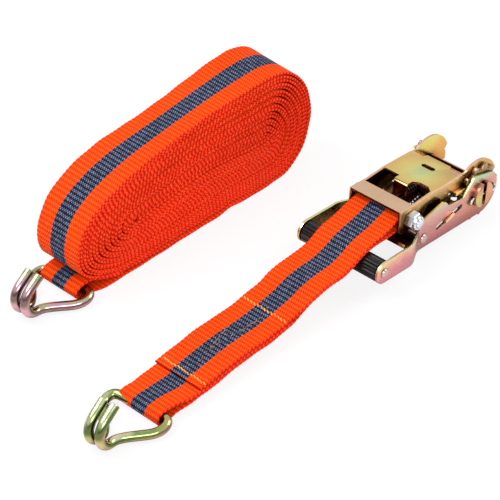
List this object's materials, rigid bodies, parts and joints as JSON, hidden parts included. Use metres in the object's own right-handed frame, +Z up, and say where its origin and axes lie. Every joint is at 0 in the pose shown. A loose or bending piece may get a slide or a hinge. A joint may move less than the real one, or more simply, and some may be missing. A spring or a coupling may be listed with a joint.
{
  "type": "ratchet tie down",
  "caption": "Ratchet tie down: toothed-wheel ratchet buckle with a short strap and double-J hook, and a separate long webbing strap with its own hook wound into a roll.",
  "frame": {"origin": "centre of the whole layout's box in plan, on the plane the object lies on", "axes": "+X along both straps from the hooks towards the ratchet wheels, +Y from the buckle towards the wound long strap, +Z up with the buckle lying upside down, handle closed underneath"},
  "size_m": [0.4536, 0.2286, 0.1103],
  "materials": {
    "zinc_gold": "yellow zinc plating with a faint pink and green sheen",
    "hook_zinc": "glossy yellow zinc plating on round wire",
    "bright_steel": "bright zinc",
    "grip_plastic": "satin black, ribbed",
    "webbing": "coarse orange polyester webbing with a dark slate stripe"
  },
  "bodies": {
    "base": {"base_frame": "zinc_gold", "strap_bolt": "bright_steel", "strap_bolt_nut": "bright_steel", "lock_pawl_spring": "bright_steel"},
    "handle": {"handle_plate_near": "zinc_gold", "handle_plate_far": "zinc_gold", "handle_spacer_pin": "bright_steel", "grip_pin": "bright_steel", "grip": "grip_plastic", "drive_pawl_spring": "bright_steel"},
    "spool": {"spool_half_front": "zinc_gold", "spool_half_rear": "zinc_gold", "ratchet_wheel_near": "zinc_gold", "ratchet_wheel_far": "zinc_gold", "cotter_pin_near": "bright_steel", "cotter_pin_far": "bright_steel"},
    "lock_pawl": {"lock_pawl": "zinc_gold"},
    "drive_pawl": {"drive_pawl": "zinc_gold"},
    "short_strap": {"short_strap": "webbing"},
    "short_hook": {"short_strap_hook": "hook_zinc"},
    "long_strap": {"long_strap": "webbing"},
    "long_hook": {"long_strap_hook": "hook_zinc"}
  },
  "joints": [
    {"name": "handle_swing", "type": "hinge", "parent": "base", "child": "handle", "pos_m": [0.19946, -0.06955, 0.0262], "axis": [0, -1, 0], "range_deg": [0, 190]},
    {"name": "spool_spin", "type": "hinge", "parent": "base", "child": "spool", "pos_m": [0.19946, -0.06955, 0.0262], "axis": [0, -1, 0], "continuous": true},
    {"name": "lock_pawl_slide", "type": "slide", "parent": "base", "child": "lock_pawl", "axis": [-0.9969, 0, 0.0785], "range_m": [0, 0.005], "stiffness_N_per_m": 400, "springref_m": -0.003, "deforming": ["lock_pawl_spring"]},
    {"name": "drive_pawl_slide", "type": "slide", "parent": "handle", "child": "drive_pawl", "axis": [-0.9863, 0, -0.165], "range_m": [-0.0038, 0.005], "stiffness_N_per_m": 400, "deforming": ["drive_pawl_spring"]},
    {"name": "short_strap_swing", "type": "hinge", "parent": "base", "child": "short_strap", "pos_m": [0.11202, -0.06955, 0.04311], "axis": [0, 1, 0], "range_deg": [0, 20]},
    {"name": "short_hook_swing", "type": "hinge", "parent": "short_strap", "child": "short_hook", "pos_m": [-0.16824, -0.06885, 0.0068], "axis": [-0.1219, 0.9925, 0], "range_deg": [-60, 90]},
    {"name": "long_hook_swing", "type": "hinge", "parent": "long_strap", "child": "long_hook", "pos_m": [-0.10324, 0.08325, 0.0068], "axis": [-0.0872, 0.9962, 0], "range_deg": [-60, 30]},
    {"name": "long_strap_apart", "type": "slide", "parent": "base", "child": "long_strap", "axis": [0, 1, 0], "range_m": [0, 0.1]}
  ]
}
